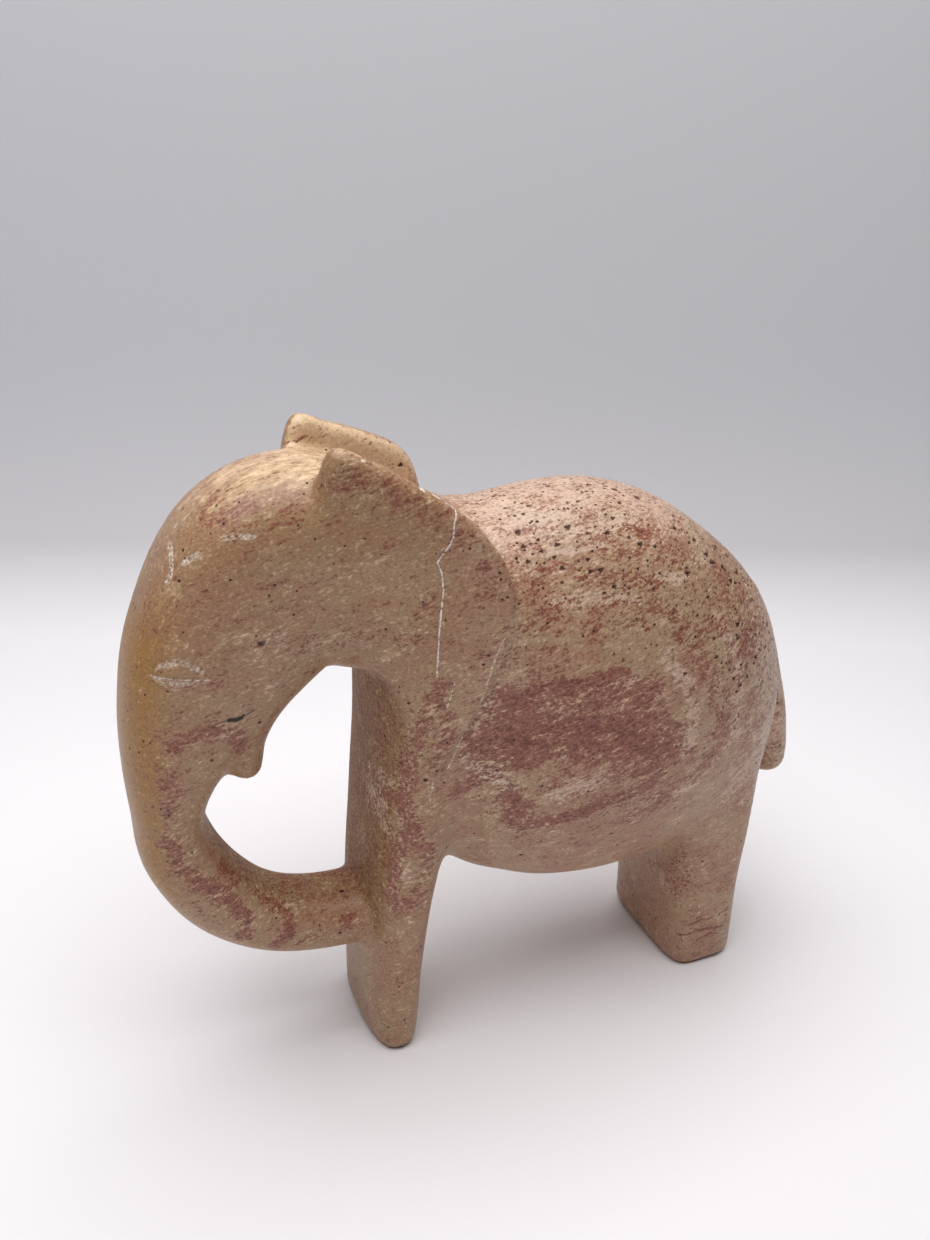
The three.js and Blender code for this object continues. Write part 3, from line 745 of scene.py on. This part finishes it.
class ELEPHANT_OT_carve(bpy.types.Operator):
    """Carves the elephant: meshes its field, then works in eyes, marks and pits"""

    bl_idname = "elephant.carve"
    bl_label = "Carve Elephant"

    def execute(self, context):
        settings = context.scene.elephant
        tall = settings.height / MM / DRAWN_HEIGHT
        broad = settings.girth / MM / DRAWN_GIRTH
        side = SideView()
        thickness = settings.ear_thickness / MM / broad

        def field(x, y, z):
            return stone(side, thickness, x, y, z)

        cell = settings.cell / MM * 1
        points, faces = meshed(field, cell)
        points = settle(field, points)
        out = grown(field, points)[1]
        places, sizes = pit_places(points, out / np.linalg.norm(out, axis=1)[:, None], settings.pits)

        def wanted(middle):
            """Edge length to allow: short in marks and pits, longer away from them."""
            length = np.full(len(middle), 9.0)
            for side_of, half, _, _, line in MARKS:
                away = np.maximum(line_distance(middle, side_of, line) - half, 0)
                length = np.minimum(length, (0.18 if half < 0.2 else 0.34) + 0.85 * away)
            for side_of, half, _, line in RUST + PALE:
                if half < 0.55:
                    away = np.maximum(line_distance(middle, side_of, line) - half, 0)
                    length = np.minimum(length, 0.45 + 0.85 * away)
            share_of, size = pit_distance(middle, places, sizes)
            return np.minimum(length, 0.66 * size + 0.9 * size * np.maximum(share_of - 1.3, 0))

        for _ in range(3):
            points, faces, cut = split(points, faces, wanted)
            if not cut:
                break
        points = settle(field, points)
        out = grown(field, points)[1]
        out /= np.linalg.norm(out, axis=1)[:, None]

        share_of, size = pit_distance(points, places, sizes)
        pit = 1 - ease(0.75, 1.25, share_of)
        depth = PIT_DEPTH * size * pit - UNEVENNESS * swell(points) * ease(0, 8, points[:, 2])
        scratch, black = np.zeros(len(points)), np.zeros(len(points))
        for side_of, half, deep, white, line in MARKS:
            here = 1 - ease(0.45, 1.35, line_distance(points, side_of, line) / half)
            depth += deep * here
            if white > 0:
                scratch = np.maximum(scratch, white * here)
            else:
                black = np.maximum(black, -white * here)
        x, y, z = points.T
        rim = np.where(x > 0, side.read("near_ear", y, z)[0], side.read("far_ear", y, z)[0])
        behind = ease(-14.5, -11, y) * (1 - ease(108, 114, z)) * ease(60, 68, z)
        depth += GROOVE_DEPTH * ease(-0.5, 0.4, rim) * (1 - ease(0.5, 2.8, rim)) * behind
        rust, pale = veins(points, RUST), veins(points, PALE)
        # Inside the trunk's loop the stone is only filed and never rubbed to a shine, so it is duller. It is
        # also painted browner there: painted shade in the hollow between the trunk and the front leg.
        inward = np.where(y < -34, 1, -1) * out[:, 1]
        filed_and_painted_shade = (1 - ease(0.3, 0.6, np.abs(out[:, 0]))) * ease(-0.6, -0.1, inward)
        filed_and_painted_shade *= ease(-56, -48, y) * (1 - ease(-16, -10, y)) * ease(25, 30, z) * (1 - ease(82, 92, z))
        rust = np.maximum(rust * (1 - 0.6 * filed_and_painted_shade), 0.45 * filed_and_painted_shade)
        # Painted highlight: the upward-facing top of the back is painted paler, and the bands there fainter.
        painted_top_light = ease(0.3, 0.9, out[:, 2]) * ease(92, 106, z) * ease(-6, 2, y)
        rust, pale = rust * (1 - 0.22 * painted_top_light), pale + 0.85 * painted_top_light
        # The rump's rear edge and the tail are paler.
        pale += 0.78 * ease(44, 60, y) * ease(36, 48, z) * (1 - ease(84, 96, z))
        # Ochre skin down the very front of the trunk, and olive head and legs. The crown's upward faces and
        # the far ear's inner face are painted cream, partly paler stone and partly painted light from above
        # and from the near side.
        ochre = 0.95 * ease(0.0, 0.95, -out[:, 1]) * ease(36, 50, -y) * ease(30, 52, z) * ease(0, 26, 114 - z)
        cream_and_painted_light = 0.54 * ease(0.62, 0.98, out[:, 2]) * ease(16, 28, -y) * ease(104, 114, z)
        cream_and_painted_light += 0.95 * ease(2, 8, -x) * ease(0.1, 0.5, out[:, 0]) * ease(108, 114, z)
        olive = 0.45 * ease(2, 14, -y) + 0.25 * ease(104, 116, z) * ease(0, 4, x) * ease(4, 12, -y)
        # The loop's painted shade is olive as well.
        olive += 0.55 * filed_and_painted_shade
        speckled = ease(78, 106, z) * ease(-8, 4, y) + ease(34, 52, y) * ease(50, 80, z)
        points = points - out * depth[:, None]
        points[:, 2] = np.maximum(points[:, 2], 0)

        mesh = bpy.data.meshes.new("elephant_stone")
        scale = np.array([broad, tall, tall]) * MM
        points = (points - (0, MIDDLE, 0)) * scale
        mesh.from_pydata(points.tolist(), [], faces.tolist())
        mesh.shade_smooth()
        for name, amount in {
            "pit": pit, "scratch": scratch, "black": black, "speckled": speckled,
            "rust": rust, "pale": pale, "ochre": ochre, "cream_and_painted_light": cream_and_painted_light, "olive": olive, "filed_and_painted_shade": filed_and_painted_shade,
        }.items():
            layer = mesh.attributes.new(name, "FLOAT", "POINT")
            layer.data.foreach_set("value", np.clip(amount, 0, 1.5).astype(np.float32))
        piece = bpy.data.objects.new("elephant_stone", mesh)
        context.collection.objects.link(piece)
        mesh.materials.append(polished_soapstone(settings))
        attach(piece, "root")
        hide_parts("elephant")
        print("elephant_stone triangles", len(faces))
        return {"FINISHED"}


AZIMUTH, ELEVATION, ROLL = map(math.radians, (67.01, 24.80, 0.42))
CAMERA_DISTANCE = 0.2161
CAMERA_TARGET = Vector((0, -MIDDLE * MM, 0.08749))
LENS = 33.39

# The paper sweep: how far behind the figure it starts to turn up, its bend and its height.
FLOOR_REACH = 0.165
BEND = 0.028
WALL_HEIGHT = 0.32


def seen_from():
    """The camera's right, up and back directions, from its azimuth, elevation and roll."""
    back = Vector((math.sin(AZIMUTH) * math.cos(ELEVATION), -math.cos(AZIMUTH) * math.cos(ELEVATION),
                   math.sin(ELEVATION)))
    right = Vector((math.cos(AZIMUTH), math.sin(AZIMUTH), 0))
    up = back.cross(right)
    return (right * math.cos(ROLL) + up * math.sin(ROLL), up * math.cos(ROLL) - right * math.sin(ROLL), back)


class STUDIO_OT_set(bpy.types.Operator):
    """Sets the floor with its backdrop, the soft lights and the camera"""

    bl_idname = "studio.set"
    bl_label = "Set Studio"

    def execute(self, context):
        settings = context.scene.studio
        right, up, back = seen_from()

        # A sheet of paper that lies flat and turns up behind the figure.
        away = -Vector((back.x, back.y, 0)).normalized()
        across = Vector((-away.y, away.x, 0))
        turn = np.linspace(0, math.pi / 2, 17)
        run = np.concatenate([[-1.5, -0.5], FLOOR_REACH + BEND * np.sin(turn), [FLOOR_REACH + BEND]])
        rise = np.concatenate([[0, 0], BEND * (1 - np.cos(turn)), [WALL_HEIGHT]])
        width = np.array([-1.6, 1.6])
        grid = np.zeros((len(run), 2, 3))
        grid[..., :2] = run[:, None, None] * np.array(away[:2]) + width[None, :, None] * np.array(across[:2])
        grid[..., 2] = rise[:, None]
        at = np.arange(2 * len(run)).reshape(-1, 2)
        quads = np.stack([at[:-1, 0], at[1:, 0], at[1:, 1], at[:-1, 1]], -1)
        mesh = bpy.data.meshes.new("sweep")
        mesh.from_pydata(grid.reshape(-1, 3).tolist(), [], quads.tolist())
        mesh.shade_smooth()
        sweep = bpy.data.objects.new("sweep", mesh)
        context.collection.objects.link(sweep)
        mesh.materials.append(paper_with_painted_shade(settings, away))

        # A wide softbox overhead, a little behind the figure.
        light = bpy.data.lights.new("overhead", "AREA")
        light.energy, light.size = settings.key, 0.6
        lamp = bpy.data.objects.new("overhead", light)
        lamp.location = away * -0.07 + Vector((0, -0.05, 0.60))
        context.collection.objects.link(lamp)

        # A dim, even room, whose far walls look pale where the paper ends.
        world = bpy.data.worlds.new("room")
        world.use_nodes = True
        tree = world.node_tree
        tree.nodes.clear()
        seen = add(tree, "LightPath")[0]
        strength = add(tree, "Math", {0: seen, 1: 0.45, 2: settings.room}, operation="MULTIPLY_ADD")[0]
        shade = add(tree, "Background", {"Color": linear("f1f3f8"), "Strength": strength})[0]
        add(tree, "OutputWorld", {"Surface": shade})
        context.scene.world = world
        context.scene.view_settings.view_transform = "Standard"

        lens = bpy.data.cameras.new("camera")
        lens.lens, lens.sensor_width, lens.clip_start = LENS, 36, 0.01
        camera = bpy.data.objects.new("camera", lens)
        spot = CAMERA_TARGET + back * CAMERA_DISTANCE
        turned = Matrix((right, up, back)).transposed().to_4x4()
        camera.matrix_world = Matrix.Translation(spot) @ turned
        context.collection.objects.link(camera)
        context.scene.camera = camera
        return {"FINISHED"}


class ELEPHANT_PT_panel(bpy.types.Panel):
    """Lists the figurine's sizes, colours and steps"""

    bl_label = "Stone Elephant"
    bl_idname = "ELEPHANT_PT_panel"
    bl_space_type = "VIEW_3D"
    bl_region_type = "UI"
    bl_category = "Elephant"

    def draw(self, context):
        for group in (context.scene.elephant, context.scene.studio):
            for name in group.__annotations__:
                self.layout.prop(group, name)
        self.layout.operator("elephant.carve")
        self.layout.operator("studio.set")


CLASSES = (ElephantSettings, StudioSettings, ELEPHANT_OT_carve, STUDIO_OT_set, ELEPHANT_PT_panel)


def register():
    for made in CLASSES:
        bpy.utils.register_class(made)
    bpy.types.Scene.elephant = bpy.props.PointerProperty(type=ElephantSettings)
    bpy.types.Scene.studio = bpy.props.PointerProperty(type=StudioSettings)


def unregister():
    del bpy.types.Scene.studio
    del bpy.types.Scene.elephant
    for made in reversed(CLASSES):
        bpy.utils.unregister_class(made)


def main():
    register()
    bpy.ops.studio.set()
    bpy.ops.elephant.carve()


if __name__ == "__main__":
    main()
